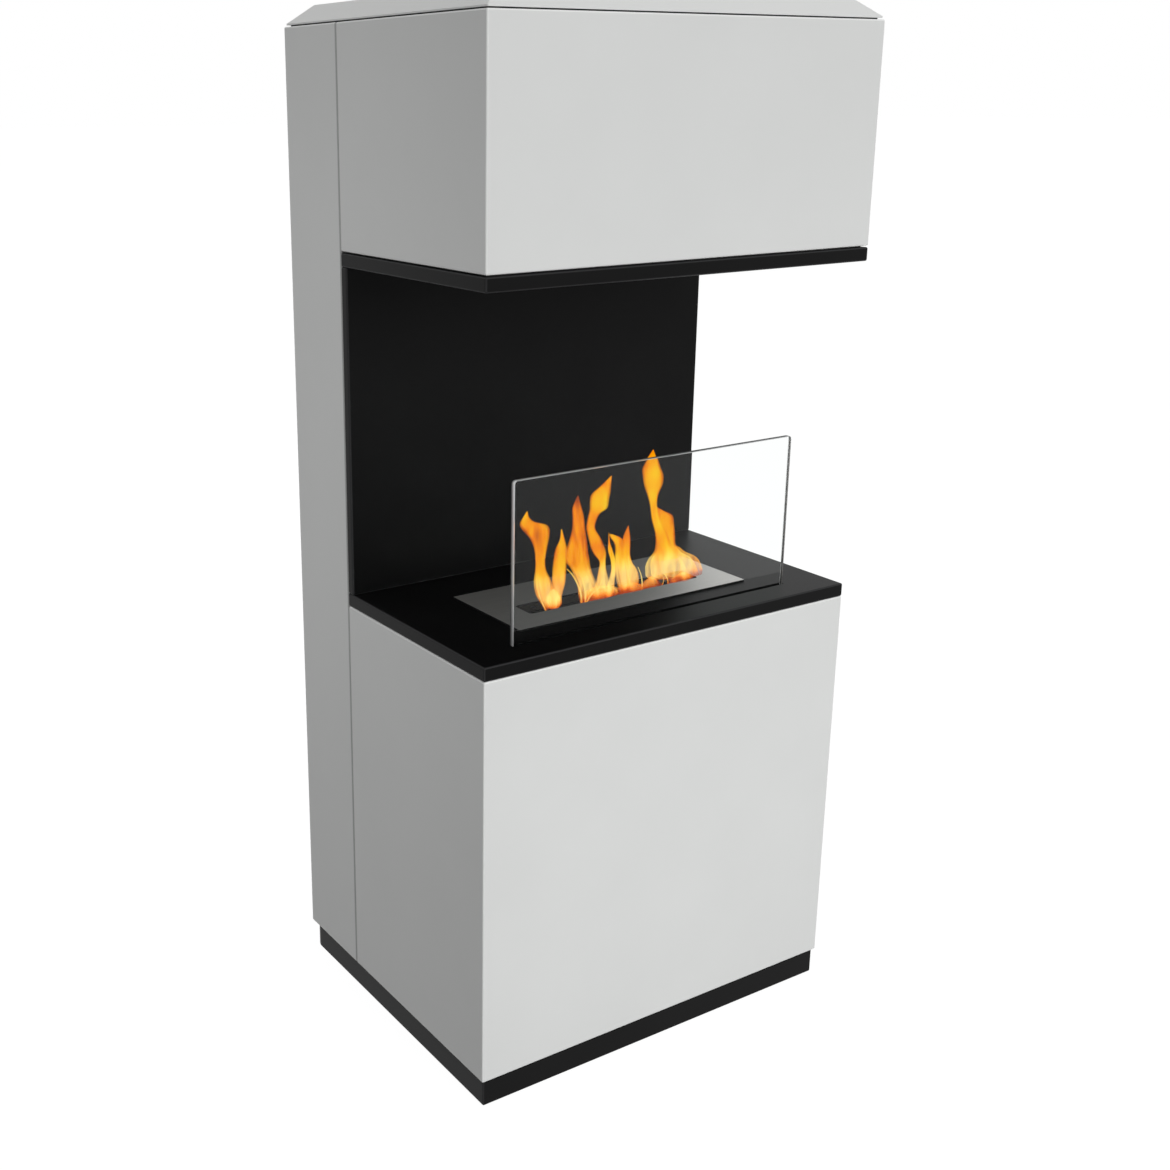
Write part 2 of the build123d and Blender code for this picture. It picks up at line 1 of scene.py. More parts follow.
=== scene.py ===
"""Looks of a free-standing bioethanol fireplace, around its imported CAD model.

Metres, +Z up, front towards -Y.
"""

import json
import math

import bpy
from mathutils import Matrix, Vector


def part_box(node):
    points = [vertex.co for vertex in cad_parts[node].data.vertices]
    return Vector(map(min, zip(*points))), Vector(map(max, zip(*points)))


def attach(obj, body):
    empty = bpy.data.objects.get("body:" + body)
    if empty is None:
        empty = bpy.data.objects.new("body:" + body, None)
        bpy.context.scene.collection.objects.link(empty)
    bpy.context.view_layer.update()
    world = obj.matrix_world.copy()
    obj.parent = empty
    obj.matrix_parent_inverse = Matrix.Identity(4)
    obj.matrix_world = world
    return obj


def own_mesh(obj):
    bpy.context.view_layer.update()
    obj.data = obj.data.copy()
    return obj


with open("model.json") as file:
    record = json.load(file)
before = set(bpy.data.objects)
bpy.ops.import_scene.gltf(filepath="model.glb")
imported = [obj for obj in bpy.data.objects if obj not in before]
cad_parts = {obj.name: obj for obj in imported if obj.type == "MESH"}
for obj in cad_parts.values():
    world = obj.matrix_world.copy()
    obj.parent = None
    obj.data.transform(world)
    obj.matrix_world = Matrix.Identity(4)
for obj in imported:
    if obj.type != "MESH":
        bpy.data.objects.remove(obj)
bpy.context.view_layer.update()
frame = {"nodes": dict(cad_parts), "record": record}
nodes = frame["nodes"]


# ---------------------------------------------------------------- node helpers

# The functions below take a material, or the world, as their first argument: whatever holds the nodes.


def new_material(name):
    """An empty node material and its output."""
    material = bpy.data.materials.new(name)
    material.use_nodes = True
    material.node_tree.nodes.clear()
    output = material.node_tree.nodes.new("ShaderNodeOutputMaterial")
    return material, output


def add(material, kind, **settings):
    """Adds a node and fills its own settings."""
    node = material.node_tree.nodes.new(kind)
    for key, value in settings.items():
        setattr(node, key, value)
    return node


def link(material, source, target):
    material.node_tree.links.new(source, target)


def feed(material, value, socket):
    """Gives a socket its value: another socket, a plain number, or a colour of three numbers."""
    if isinstance(value, (int, float)):
        socket.default_value = value
    elif isinstance(value, tuple):
        socket.default_value = (*value, 1)
    else:
        link(material, value, socket)


def surface(material, output, **values):
    """A Principled shader on the material's output, with plain values on its sockets."""
    shader = add(material, "ShaderNodeBsdfPrincipled")
    for key, value in values.items():
        shader.inputs[key.replace("_", " ")].default_value = value
    link(material, shader.outputs["BSDF"], output.inputs["Surface"])
    return shader


def object_coordinates(material, scale):
    """Object coordinates, stretched by a scale along each axis."""
    coordinates = add(material, "ShaderNodeTexCoord")
    mapping = add(material, "ShaderNodeMapping")
    mapping.inputs["Scale"].default_value = scale
    link(material, coordinates.outputs["Object"], mapping.inputs["Vector"])
    return mapping.outputs["Vector"]


def calculate(material, operation, first, second):
    """A Math node. Each operand is a socket or a plain number."""
    node = add(material, "ShaderNodeMath", operation=operation)
    feed(material, first, node.inputs[0])
    feed(material, second, node.inputs[1])
    return node.outputs["Value"]


def map_range(material, value, source, target, smooth=False):
    """Carries a value from one range to another, and holds it at the ends."""
    node = add(material, "ShaderNodeMapRange", interpolation_type="SMOOTHSTEP" if smooth else "LINEAR")
    for name, number in zip(("From Min", "From Max", "To Min", "To Max"), (*source, *target)):
        node.inputs[name].default_value = number
    link(material, value, node.inputs["Value"])
    return node.outputs["Result"]


def object_axes(material, output="Object"):
    """The X, Y and Z sockets of the object coordinates or, with "Normal", of the surface's direction."""
    coordinates = add(material, "ShaderNodeTexCoord")
    split = add(material, "ShaderNodeSeparateXYZ")
    link(material, coordinates.outputs[output], split.inputs["Vector"])
    return split.outputs


def off_axis(material):
    """0 on faces that look along an axis, 1 where a sheet folds from one such face into the next."""
    x, y, z = (calculate(material, "ABSOLUTE", axis, 0) for axis in object_axes(material, "Normal"))
    largest = calculate(material, "MAXIMUM", calculate(material, "MAXIMUM", x, y), z)
    return map_range(material, largest, (0.99, 0.93), (0, 1))


def noise_texture(material, vector, scale, detail=2.0, roughness=0.5):
    texture = add(material, "ShaderNodeTexNoise")
    texture.inputs["Scale"].default_value = scale
    texture.inputs["Detail"].default_value = detail
    texture.inputs["Roughness"].default_value = roughness
    link(material, vector, texture.inputs["Vector"])
    return texture.outputs["Fac"]


def ramp(material, value, stops):
    """A colour ramp with the given (place, colour) stops."""
    node = add(material, "ShaderNodeValToRGB")
    elements = node.color_ramp.elements
    while len(elements) < len(stops):
        elements.new(0.5)
    for element, (place, colour) in zip(elements, stops):
        element.position = place
        element.color = (*colour, 1)
    link(material, value, node.inputs["Fac"])
    return node.outputs["Color"]


def blend(material, factor, first, second):
    """A mix of two colours, each a socket or three plain numbers."""
    node = add(material, "ShaderNodeMix", data_type="RGBA")
    link(material, factor, node.inputs["Factor"])
    colour_a, colour_b = [socket for socket in node.inputs if socket.type == "RGBA"]
    feed(material, first, colour_a)
    feed(material, second, colour_b)
    return [socket for socket in node.outputs if socket.type == "RGBA"][0]


def between(material, factor, first, second):
    """A mix of two values, each a socket or a plain number."""
    node = add(material, "ShaderNodeMix", data_type="FLOAT")
    link(material, factor, node.inputs["Factor"])
    feed(material, first, node.inputs["A"])
    feed(material, second, node.inputs["B"])
    return node.outputs["Result"]


def seen_share(material):
    """1 for rays that show a surface: straight, mirrored or through glass. 0 for those that light it."""
    path = add(material, "ShaderNodeLightPath")
    mirrored = calculate(material, "MAXIMUM", path.outputs["Is Camera Ray"], path.outputs["Is Glossy Ray"])
    return calculate(material, "MAXIMUM", mirrored, path.outputs["Is Transmission Ray"])


def bump(material, shader, height, strength, distance):
    """Gives a shader's surface the relief of a height socket."""
    node = add(material, "ShaderNodeBump")
    node.inputs["Strength"].default_value = strength
    node.inputs["Distance"].default_value = distance
    link(material, height, node.inputs["Height"])
    link(material, node.outputs["Normal"], shader.inputs["Normal"])


# ---------------------------------------------------------------- materials

painted_seam_shade = (0.46, 0.465, 0.46)  # painted shade of the hairline gap between two white sheets
seam_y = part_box("lower_shell")[1][1]  # where the shells meet the column's sides
pane_ior = 1.2  # under real glass's, so that the pane mirrors less of the white studio round it


def powder_coat(name, light, dark, fold_highlight, roughness, peel, gloss, seam=None):
    """Baked powder paint: a faint mottle, the fine orange peel of its surface, and a painted highlight on
    its folds.

    A seam is the place along Y of a hairline gap between two sheets, which painted shade makes darker than
    they are.
    """
    material, output = new_material(name)
    shader = surface(material, output, Specular_IOR_Level=gloss)
    cloud = noise_texture(material, object_coordinates(material, (1, 1, 1)), 9, 4)
    # Painted highlight: where a sheet folds, the paint takes the lighter fold colour.
    coat_and_painted_light = blend(material, off_axis(material), ramp(material, cloud, ((0.3, dark), (0.7, light))), fold_highlight)
    if seam is not None:
        # Painted shade darkens the paint within the seam's hairline gap.
        beside = calculate(material, "SUBTRACT", object_axes(material)["Y"], seam)
        distance = calculate(material, "ABSOLUTE", beside, 0)
        in_seam = map_range(material, distance, (0.0025, 0.0015), (0, 1))
        coat_and_painted_light = blend(material, in_seam, coat_and_painted_light, painted_seam_shade)
    link(material, coat_and_painted_light, shader.inputs["Base Color"])
    grain = noise_texture(material, object_coordinates(material, (1, 1, 1)), 700, 3, 0.6)
    link(material, map_range(material, grain, (0, 1), roughness), shader.inputs["Roughness"])
    bump(material, shader, grain, peel, 0.0002)
    return material


def brushed(name, light, dark, roughness, lines=(14, 1400, 1400), strength=0.25, cut_edge_shade=None):
    """Sheet ground along its length: fine lines in colour, gloss and height. Cut edges may be darkened with
    painted shade.
    """
    material, output = new_material(name)
    shader = surface(material, output, Metallic=1.0)
    streaks = noise_texture(material, object_coordinates(material, lines), 1, 6, 0.7)
    colour = ramp(material, streaks, ((0.3, dark), (0.7, light)))
    # Painted shade: the upright cut edges take a darker colour.
    if cut_edge_shade:
        upright = calculate(material, "ABSOLUTE", object_axes(material, "Normal")["Z"], 0)
        colour = blend(material, map_range(material, upright, (0.98, 0.90), (0, 1)), colour, cut_edge_shade)
    link(material, colour, shader.inputs["Base Color"])
    link(material, map_range(material, streaks, (0, 1), roughness), shader.inputs["Roughness"])
    bump(material, shader, streaks, strength, 0.00005)
    return material


def spangled(name, light, dark):
    """Galvanised sheet, with the soft spangle of its zinc."""
    material, output = new_material(name)
    shader = surface(material, output, Metallic=0.85)
    cells = add(material, "ShaderNodeTexVoronoi")
    cells.inputs["Scale"].default_value = 110
    link(material, object_coordinates(material, (1, 1, 1)), cells.inputs["Vector"])
    grain = cells.outputs["Color"]
    link(material, ramp(material, grain, ((0.0, dark), (1.0, light))), shader.inputs["Base Color"])
    link(material, map_range(material, grain, (0, 1), (0.35, 0.55)), shader.inputs["Roughness"])
    return material


def fibrous(name, light, dark, scale, roughness=0.95, depth=0.0008):
    """Wool, board, felt or rubber: matt, with an uneven surface."""
    material, output = new_material(name)
    shader = surface(material, output, Roughness=roughness)
    fibres = noise_texture(material, object_coordinates(material, (1, 1, 1)), scale, 6, 0.7)
    link(material, ramp(material, fibres, ((0.3, dark), (0.7, light))), shader.inputs["Base Color"])
    bump(material, shader, fibres, 0.5, depth)
    return material


def clear_glass():
    """Clear pane with faintly smeared faces and ground edges.

    The edges carry painted light: it is brightest at the near top corner, and along the top it darkens
    towards the far side.
    """
    material, output = new_material("clear_glass")
    shader = surface(material, output, IOR=pane_ior)
    facing = calculate(material, "ABSOLUTE", object_axes(material, "Normal")["Y"], 0)
    is_edge = map_range(material, facing, (0.9, 0.6), (0, 1))
    low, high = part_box("glass_pane")
    place = object_axes(material)
    along = map_range(material, place["X"], (low[0], high[0]), (0, 1))
    # Painted light and shade on the edges: a grey along X, lighter upwards and towards the front.
    painted_edge_grey = ramp(material, along, (
        (0.0, (0.9, 0.9, 0.9)), (0.01, (0.36, 0.37, 0.37)), (0.5, (0.24, 0.26, 0.26)),
        (0.62, (0.05, 0.055, 0.055)), (0.98, (0.03, 0.033, 0.033)), (1.0, (0.42, 0.42, 0.42)),
    ))
    upward = map_range(material, place["Z"], (low[2], high[2]), (0.25, 1))
    forward = map_range(material, place["Y"], (low[1], high[1]), (1.7, 0.05), smooth=True)
    shade = calculate(material, "MULTIPLY", upward, forward)
    painted_edge_light = add(material, "ShaderNodeVectorMath", operation="SCALE")
    link(material, painted_edge_grey, painted_edge_light.inputs[0])
    link(material, shade, painted_edge_light.inputs["Scale"])
    colour = blend(material, is_edge, (0.97, 0.985, 0.98), painted_edge_light.outputs["Vector"])
    link(material, colour, shader.inputs["Base Color"])
    smear = noise_texture(material, object_coordinates(material, (1, 1, 1)), 25, 3)
    smeared = map_range(material, smear, (0, 1), (0, 0.004))
    ground = calculate(material, "MULTIPLY", is_edge, 0.4)
    link(material, calculate(material, "ADD", smeared, ground), shader.inputs["Roughness"])
    link(material, map_range(material, is_edge, (0, 1), (1, 0.03)), shader.inputs["Transmission Weight"])
    # Light and mirrored rays pass the pane straight: no hard shadow falls, and no flames show in the table.
    path = add(material, "ShaderNodeLightPath")
    passing = add(material, "ShaderNodeBsdfTransparent")
    passing.inputs["Color"].default_value = (0.93, 0.95, 0.94, 1)
    straight, bent = passing.outputs["BSDF"], shader.outputs["BSDF"]
    pane = bent
    for kind_of_ray, otherwise, when_so in (
        ("Is Transmission Ray", straight, bent),
        ("Is Glossy Ray", bent, None),
        ("Is Shadow Ray", None, straight),
    ):
        mix = add(material, "ShaderNodeMixShader")
        link(material, path.outputs[kind_of_ray], mix.inputs["Fac"])
        link(material, otherwise or pane, mix.inputs[1])
        link(material, when_so or pane, mix.inputs[2])
        pane = mix.outputs["Shader"]
    link(material, pane, output.inputs["Surface"])
    return material


# The third colour of each coat is the painted highlight on its folds.
white_coat = powder_coat("white_powder_coat", (0.80, 0.81, 0.80), (0.78, 0.79, 0.78), (0.93, 0.94, 0.93),
                         (0.30, 0.42), 0.10, 0.5, seam=seam_y)
# The cap's fold colour is its plain colour, so that its sloped faces take no painted highlight.
cap_coat = powder_coat("cap_powder_coat", (0.80, 0.81, 0.80), (0.78, 0.79, 0.78), (0.80, 0.81, 0.80),
                       (0.30, 0.42), 0.10, 0.5)
black_coat = powder_coat("black_powder_coat", (0.0045, 0.0045, 0.0046), (0.0032, 0.0032, 0.0033),
                         (0.030, 0.030, 0.031), (0.34, 0.46), 0.15, 0.07)
stainless = brushed("brushed_stainless", (0.62, 0.61, 0.59), (0.50, 0.49, 0.47), (0.34, 0.48))
# The cut edges of the burner plate, the shutter and the deck carry painted shade, for the dark slot of the
# burner.
plate_steel = brushed("plate_stainless", (0.66, 0.65, 0.63), (0.54, 0.53, 0.51), (0.43, 0.57),
                      cut_edge_shade=(0.025, 0.025, 0.025))
# The wool screen's steel is much darker than the rest.
dark_screen_steel = brushed("dark_screen_stainless", (0.10, 0.09, 0.08), (0.05, 0.045, 0.04), (0.5, 0.7))
tinted = brushed("heat_tinted_stainless", (0.16, 0.14, 0.12), (0.09, 0.08, 0.07), (0.40, 0.55),
                 cut_edge_shade=(0.01, 0.01, 0.01))
zinc = brushed("zinc_plated_steel", (0.66, 0.67, 0.68), (0.55, 0.56, 0.58), (0.28, 0.42),
               lines=(300, 300, 300), strength=0.1)
galvanised = spangled("galvanised_steel", (0.62, 0.64, 0.66), (0.48, 0.50, 0.52))
glass = clear_glass()
rubber = fibrous("rubber", (0.035, 0.035, 0.035), (0.022, 0.022, 0.022), 900, 0.8, 0.0002)
wool = fibrous("ceramic_wool", (0.30, 0.28, 0.25), (0.12, 0.11, 0.10), 260)
board = fibrous("insulation_board", (0.74, 0.70, 0.60), (0.62, 0.58, 0.49), 340)
seal = fibrous("gasket", (0.055, 0.055, 0.055), (0.03, 0.03, 0.03), 600)

finishes = {
    "white_powder_coat": white_coat,
    "black_powder_coat": black_coat,
    "brushed_stainless": stainless,
    "zinc_plated_steel": zinc,
    "galvanised_steel": galvanised,
    "clear_glass": glass,
    "rubber": rubber,
    "ceramic_wool": wool,
    "insulation_board": board,
    "gasket": seal,
}
for subpart in frame["record"]["subparts"]:
    for slot in nodes[subpart["node"]].material_slots:
        slot.material = finishes[subpart["material_slot"]]
# Nodes that look different from the rest of their group.
for node, finish in (
    ("top_cap", cap_coat), ("burner_plate", plate_steel), ("wool_screen", dark_screen_steel),
    ("shutter", tinted), ("burner_deck", tinted),
):
    for slot in nodes[node].material_slots:
        slot.material = finish


# ---------------------------------------------------------------- flames

mouth_depth = 0.013  # the burner's open strip, from its front edge back to the shutter
mouth_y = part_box("shutter")[0][1] - mouth_depth / 2
ember_low, ember_top = 0.515, 0.526  # between these heights the flames turn from deep red to their own heat
veil_top = 0.536  # below this height the flames are thin enough to see the burner through them
flame_start = 0.566  # above this one they hide what is behind them
ring_sides = 16  # corners of a flame's cross-section
curve_steps = 6  # cross-sections from one level to the next
depth_share = 0.6  # a flame's depth, from front to back, over its width
most_half_depth = 7  # half of a flame's greatest depth, in millimetres
least_half_width = 0.1  # half of its least width, in millimetres, so that a tip stays a closed ring

# Each tongue is a row of levels, from the burner's mouth up to its tip. The first four numbers are in
# millimetres: height, left side, right side, and how far it leans back. The last is its heat, from 0, deep
# red, to 1, pale yellow.
tongues = [
    # left hook
    [(516, -97, -92, 0, 0.3), (520, -99, -88, 0, 0.8), (535, -108, -87, 0, 0.8), (550, -111, -90, 0, 0.85),
     (562, -110, -96, 0, 0.7), (573, -109, -97, 1, 0.65), (588, -110, -94, 2, 0.55),
     (600, -115, -91, 3, 0.48), (608, -122, -90, 4, 0.5), (613, -126, -95, 4, 0.58),
     (618, -127, -109, 5, 0.65), (624, -124, -116, 5, 0.7), (631, -119, -118, 5, 0.7)],
    # ball at its foot
    [(516, -91, -82, -3, 0.4), (520, -95, -77, -3, 0.9), (528, -98, -77, -3, 1.0),
     (534, -95, -80, -3, 0.95), (539, -89, -86, -3, 0.9)],
    # left leg of the second flame, with its spike
    [(516, -90, -78, 0, 0.4), (530, -90, -74, 0, 0.75), (545, -87, -70, 0, 0.8), (562, -86, -69, 0, 0.75),
     (573, -84, -68, 1, 0.7), (583, -82, -68, 1, 0.6), (593, -76, -70, 2, 0.6), (604, -74, -73, 3, 0.8)],
    # second flame
    [(516, -48, -14, 0, 0.4), (526, -50, -20, 0, 0.85), (536, -52, -27, -1, 0.9), (547, -56, -33, -1, 0.85),
     (558, -62, -37, -1, 0.75), (567, -70, -39, -2, 0.6), (575, -72, -41, -2, 0.5),
     (586, -66, -42, -1, 0.48), (600, -61, -44, 0, 0.55), (615, -60, -46, 0, 0.52),
     (627, -60, -49, 1, 0.42), (640, -54, -53, 1, 0.15)],
    # third, with its notched head
    [(516, -32, -3, 1, 0.5), (525, -28, -5, 1, 0.85), (536, -24, -8, 1, 0.9), (548, -21, -11, 2, 0.9),
     (558, -20, -12, 2, 0.85), (567, -27, -12, 2, 0.7), (575, -31, -14, 3, 0.55), (586, -34, -19, 4, 0.5),
     (598, -37, -26, 5, 0.46), (608, -36, -24, 5, 0.52), (615, -34, -19, 5, 0.68), (620, -33, -11, 4, 0.78),
     (629, -34, -10, 3, 0.80), (637, -33, -9, 2, 0.65), (644, -23, -8, 2, 0.55), (656, -8, -7, 1, 0.45)],
    # thin spike
    [(516, -15, -4, -4, 0.6), (536, -11, -3, -4, 0.95), (548, -8, -2, -4, 1.0), (560, -10, -4, -5, 0.9),
     (572, -14, -8, -5, 0.8), (582, -14, -12, -5, 0.7), (593, -14, -13.4, -5, 0.7)],
    # fourth, with two tips
    [(516, 9, 20, -1, 0.4), (527, 5, 23, -1, 0.75), (540, 1, 21, -1, 0.85), (555, 0, 18, 0, 0.9),
     (569, 1, 17, 0, 0.75), (577, -1, 13, 0, 0.65), (583, -5, 7, 1, 0.6), (588, -8, -4, 1, 0.5)],
    [(516, 20, 34, 1, 0.4), (528, 20, 36, 1, 0.7), (540, 18, 33, 1, 0.8), (550, 17, 26, 1, 0.85),
     (560, 15, 23, 2, 0.75), (572, 13, 23, 2, 0.55), (582, 14, 23, 3, 0.45), (594, 20, 20.6, 3, 0.35)],
    # fifth, tall, on a broad foot
    [(519, 84, 131, 0, 0.35), (524, 58, 132, 0, 0.7), (529, 47, 130, 0, 0.95), (536, 45, 126, 0, 1.0),
     (543, 45, 118, 0, 1.0), (550, 50, 104, 0, 0.95), (557, 58, 95, 0, 0.85), (565, 61, 82, 1, 0.75),
     (580, 59, 73, 1, 0.65), (596, 54, 64, 2, 0.7), (612, 51, 60, 2, 0.72), (625, 47, 61, 2, 0.75),
     (638, 41, 65.5, 1, 0.75), (648, 38, 65, 0, 0.78), (657, 37, 60.5, 0, 0.75), (665, 41, 57.5, 0, 0.6),
     (678, 51, 52, 0, 0.4)],
    [(545, 66, 98, 4, 0.8), (560, 71, 92, 5, 0.75), (573, 72, 90.5, 5, 0.65), (586, 68, 89, 6, 0.6),
     (596, 64, 86, 6, 0.5), (602, 62.5, 75, 6, 0.45), (610, 60.5, 61.5, 5, 0.3)],
    # low fire along the mouth
    [(515, -45, -12, -2, 0.1), (518, -46, 8, -2, 0.55), (522, -44, 8, -2, 0.75), (526, -41, 0, -2, 0.8),
     (529, -34, -10, -2, 0.75)],
    [(516, 4, 40, -2, 0.1), (519, 8, 46, -2, 0.5), (524, 14, 34, -2, 0.6), (527, 20, 26, -2, 0.6)],
    [(516, 34, 72, 0, 0.2), (519, 38, 68, 0, 0.55), (524, 46, 62, 0, 0.6), (528, 52, 56, 0, 0.6)],
    [(516, 76, 112, -3, 0.3), (519, 80, 114, -3, 0.75), (523, 90, 108, -3, 0.8), (526, 97, 103, -3, 0.75)],
]

# Thin bright threads at the foot of the flames, with the same five numbers.
threads = [
    [(516, -52, -49, -6, 1.0), (531, -53.5, -51.5, -6, 1.0), (549, -62, -60, -5, 0.95),
     (560, -71, -69.5, -4, 0.9)],
    [(516, -47, -45, -7, 1.0), (530, -47, -44.5, -6, 1.0), (550, -51.5, -49.5, -5, 0.95),
     (565, -54, -53, -4, 0.9)],
    [(516, -46, -44, -7, 1.0), (526, -38, -35.5, -7, 1.0), (531, -27, -25, -6, 0.95),
     (545, -21, -19.5, -5, 0.9)],
    [(516, 35, 37, -6, 1.0), (527, 35, 36.5, -6, 1.0), (536, 33.5, 35, -5, 0.95), (545, 30, 31, -4, 0.9)],
    [(516, 74, 75.5, -6, 1.0), (524, 72.5, 74, -6, 1.0), (534, 66, 67.5, -5, 0.95)],
    [(514, 63, 64.5, -6, 1.0), (522, 67, 68.5, -6, 0.95), (530, 66, 67, -5, 0.9)],
    [(516, -99, -97.5, -5, 0.95), (530, -106, -104.5, -5, 0.95), (545, -110.5, -109, -4, 0.85),
     (556, -110.5, -109.5, -3, 0.8)],
]


def through(points, steps):
    """A smooth line through rows of numbers: a Catmull-Rom spline."""
    line = []
    for i in range(len(points) - 1):
        before = points[max(i - 1, 0)]
        start, end = points[i], points[i + 1]
        after = points[min(i + 2, len(points) - 1)]
        for k in range(steps):
            t = k / steps
            line.append([
                0.5 * (
                    2 * q + (r - p) * t
                    + (2 * p - 5 * q + 4 * r - s) * t ** 2
                    + (3 * q - p - 3 * r + s) * t ** 3
                )
                for p, q, r, s in zip(before, start, end, after)
            ])
    line.append(list(points[-1]))
    return line


def tongue(levels, share, verts, faces, heats, sides):
    """Adds one flame as a closed skin. A share under 1 thins it, so that it lies inside a full one.

    A vertex's side is 1 at the left and right of the flame, and 0 at the middle of its front and back.
    """
    line = through(levels, curve_steps)
    first = len(verts)
    for z, left, right, lean, heat in line:
        half = max((right - left) / 2 * share, least_half_width)
        middle = (left + right) / 2
        deep = min(half * depth_share, most_half_depth)
        for k in range(ring_sides):
            turn = 2 * math.pi * k / ring_sides
            verts.append((
                (middle + math.cos(turn) * half) / 1000,
                mouth_y + (lean + math.sin(turn) * deep) / 1000,
                z / 1000,
            ))
            heats.append(heat)
            sides.append(math.cos(turn) ** 2)
    for i in range(len(line) - 1):
        for k in range(ring_sides):
            a = first + i * ring_sides + k
            b = first + i * ring_sides + (k + 1) % ring_sides
            faces.append((a, b, b + ring_sides, a + ring_sides))
    last = first + (len(line) - 1) * ring_sides
    faces.append(tuple(first + k for k in reversed(range(ring_sides))))
    faces.append(tuple(last + k for k in range(ring_sides)))


def vertex_value(material, name):
    """A number that the mesh carries at each vertex."""
    return add(material, "ShaderNodeAttribute", attribute_name=name).outputs["Fac"]


def burning(name, warmer, foot, body, foot_strength, streak=0.3):
    """Burning gas, which only gives light, with streaks that drift upwards.

    Its foot is a thin veil, densest at its sides, and its body is thick. The foot's two numbers, at the
    middle and at the sides, and the body's one are how much each skin hides of what is behind it.
    """
    material, output = new_material(name)
    shader = surface(material, output, Base_Color=(0, 0, 0, 1), Roughness=1.0, Specular_IOR_Level=0.0)
    thick = map_range(material, object_axes(material)["Z"], (veil_top, flame_start), (0, 1), smooth=True)
    streaks = noise_texture(material, object_coordinates(material, (120, 60, 30)), 1, 2, 0.45)
    drift = map_range(material, streaks, (0.25, 0.75), (warmer - streak, warmer + streak))
    ember = map_range(material, object_axes(material)["Z"], (ember_low, ember_top), (-0.8, 0))
    heat = calculate(material, "ADD", vertex_value(material, "flame_heat"), drift)
    heat = calculate(material, "ADD", heat, ember)
    body_colour = ramp(material, heat, (
        (0.0, (0.30, 0.05, 0.01)), (0.25, (0.88, 0.15, 0.0)), (0.5, (1.0, 0.31, 0.001)),
        (0.75, (1.0, 0.50, 0.001)), (1.0, (1.0, 0.62, 0.02)),
    ))
    foot_colour = ramp(material, heat, (
        (0.0, (0.28, 0.03, 0.0)), (0.25, (0.75, 0.13, 0.01)), (0.5, (1.0, 0.32, 0.02)),
        (0.85, (1.0, 0.54, 0.12)), (1.0, (1.0, 0.70, 0.19)),
    ))
    link(material, blend(material, thick, foot_colour, body_colour), shader.inputs["Emission Color"])
    strength = map_range(material, thick, (0, 1), (foot_strength, 1))
    link(material, strength, shader.inputs["Emission Strength"])
    fine = noise_texture(material, object_coordinates(material, (200, 90, 45)), 1, 3)
    ragged = map_range(material, fine, (0.3, 0.7), (0.4, 1.6))
    veil = map_range(material, vertex_value(material, "flame_side"), (0, 1), foot)
    veil = calculate(material, "MULTIPLY", veil, ragged)
    link(material, between(material, thick, veil, body), shader.inputs["Alpha"])
    return material


def flame_skin(name, shapes, share, material):
    """One piece of the fire: a skin round each of the shapes."""
    verts, faces, heats, sides = [], [], [], []
    for levels in shapes:
        tongue(levels, share, verts, faces, heats, sides)
    mesh = bpy.data.meshes.new(name)
    mesh.from_pydata(verts, [], faces)
    mesh.materials.append(material)
    mesh.attributes.new("flame_heat", "FLOAT", "POINT").data.foreach_set("value", heats)
    mesh.attributes.new("flame_side", "FLOAT", "POINT").data.foreach_set("value", sides)
    for polygon in mesh.polygons:
        polygon.use_smooth = True
    piece = bpy.data.objects.new(name, mesh)
    bpy.context.collection.objects.link(piece)
    # The flames show, and neither light nor shade what is round them.
    piece.visible_diffuse = False
    piece.visible_glossy = False
    piece.visible_shadow = False
    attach(piece, "burner")
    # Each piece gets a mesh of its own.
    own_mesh(piece)


flame_skin("flames_outer", tongues, 1.0, burning("flame_skin", -0.22, (0.09, 0.26), 0.40, 1.6, 0.36))
flame_skin("flames_inner", tongues, 0.80, burning("flame_body", 0.04, (0.15, 0.24), 0.66, 1.6, 0.36))
flame_skin("flames_heart", tongues, 0.42, burning("flame_heart", 0.16, (0.16, 0.16), 0.60, 1.6))
flame_skin("flames_threads", threads, 1.0, burning("flame_thread", 0.1, (0.45, 0.45), 0.45, 1.1))


# ---------------------------------------------------------------- floor, light and world

floor_mesh = bpy.data.meshes.new("floor")
floor_mesh.from_pydata([(-60, -60, 0), (60, -60, 0), (60, 60, 0), (-60, 60, 0)], [], [(0, 1, 2, 3)])
floor = bpy.data.objects.new("floor", floor_mesh)
bpy.context.collection.objects.link(floor)

floor_material, floor_output = new_material("floor")
matt = add(floor_material, "ShaderNodeBsdfDiffuse")
matt.inputs["Color"].default_value = (0.10, 0.10, 0.10, 1)
glow = add(floor_material, "ShaderNodeEmission")
# What the matt floor lacks to white where it is seen. The rest is lit, and shows the object's shadow.
lacking = calculate(floor_material, "MULTIPLY", seen_share(floor_material), 0.965)
link(floor_material, lacking, glow.inputs["Strength"])
both = add(floor_material, "ShaderNodeAddShader")
link(floor_material, matt.outputs["BSDF"], both.inputs[0])
link(floor_material, glow.outputs["Emission"], both.inputs[1])
link(floor_material, both.outputs["Shader"], floor_output.inputs["Surface"])
floor_mesh.materials.append(floor_material)

world = bpy.data.worlds.new("studio")
bpy.context.scene.world = world
world.use_nodes = True
world.node_tree.nodes.clear()
world_output = add(world, "ShaderNodeOutputWorld")
background = add(world, "ShaderNodeBackground")
background.inputs["Color"].default_value = (1, 1, 1, 1)
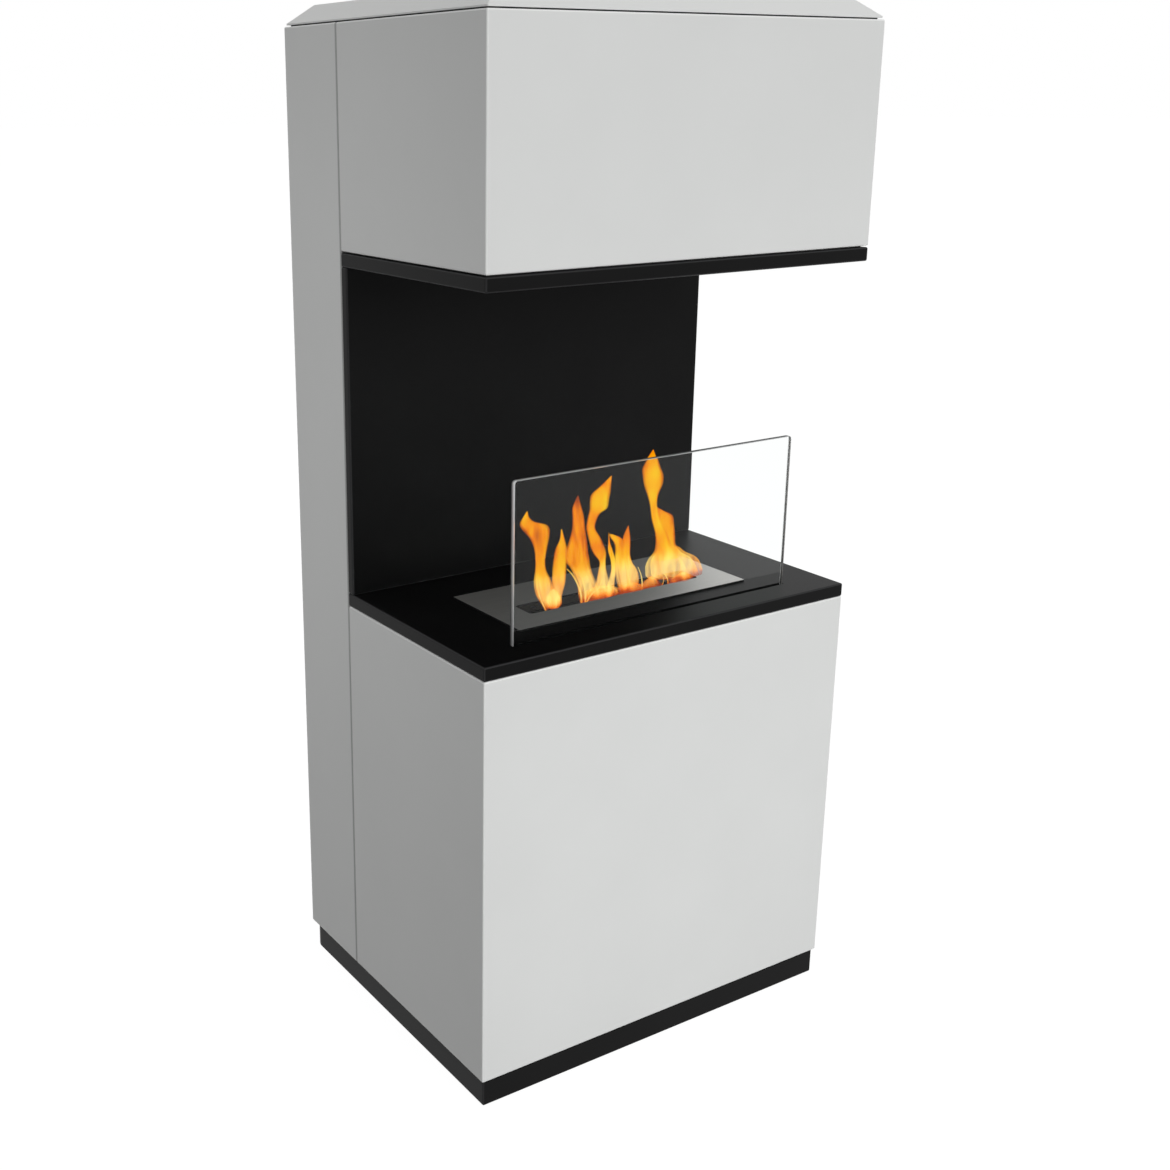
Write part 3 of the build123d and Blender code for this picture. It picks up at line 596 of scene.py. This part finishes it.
# The world is white where it is seen. What it lights the object with is brightest overhead and in front.
direction = object_axes(world, "Generated")
in_front = calculate(world, "MULTIPLY", direction["Y"], -0.6)
overhead = calculate(world, "ADD", in_front, direction["Z"])
sky = map_range(world, overhead, (0, 1.17), (0.06, 0.70))
link(world, between(world, seen_share(world), sky, 1.0), background.inputs["Strength"])
link(world, background.outputs["Background"], world_output.inputs["Surface"])


def lamp(name, place, target, size, power, mirrored=True):
    """A square lamp that the camera doesn't see. One that isn't mirrored leaves no highlight either."""
    light = bpy.data.lights.new(name, "AREA")
    light.shape = "SQUARE"
    light.size = size
    light.energy = power
    piece = bpy.data.objects.new(name, light)
    piece.location = place
    piece.rotation_mode = "QUATERNION"
    piece.rotation_quaternion = (Vector(target) - Vector(place)).to_track_quat("-Z", "Y")
    piece.visible_camera = False
    piece.visible_glossy = mirrored
    bpy.context.collection.objects.link(piece)


lamp("key", (0.5, -3.4, 1.9), (0, 0, 0.7), size=1.5, power=41)
lamp("low", (0, -1.5, 0.2), (0, -0.2, 0.25), size=0.5, power=5.1, mirrored=False)
lamp("side", (-1.1, 0, 0.85), (-0.25, 0, 0.85), size=0.5, power=1.4, mirrored=False)
lamp("back", (0.4, 3.0, 1.4), (0, 0.2, 0.6), size=1.5, power=14, mirrored=False)


# ---------------------------------------------------------------- camera

camera = bpy.data.cameras.new("camera")
camera.sensor_width = 36
camera.lens = 45.8
camera.shift_x = 0.1346
camera.shift_y = -0.040
camera.clip_start = 0.05
camera.clip_end = 200
viewer = bpy.data.objects.new("camera", camera)
bpy.context.collection.objects.link(viewer)
# It looks to the right of +Y by the turn and down by the tilt, and leans by the roll.
turn, tilt, roll = (math.radians(angle) for angle in (31.54, 16.47, 0.40))
ahead = Vector((math.sin(turn) * math.cos(tilt), math.cos(turn) * math.cos(tilt), -math.sin(tilt)))
level = Vector((math.cos(turn), -math.sin(turn), 0))
right = level * math.cos(roll) + ahead.cross(level) * math.sin(roll)
down = ahead.cross(right)
aim = Matrix((right, -down, -ahead)).transposed().to_4x4()
viewer.matrix_world = Matrix.Translation((-1.0184, -1.3470, 1.0584)) @ aim
bpy.context.scene.camera = viewer

bpy.context.scene.view_settings.view_transform = "Standard"
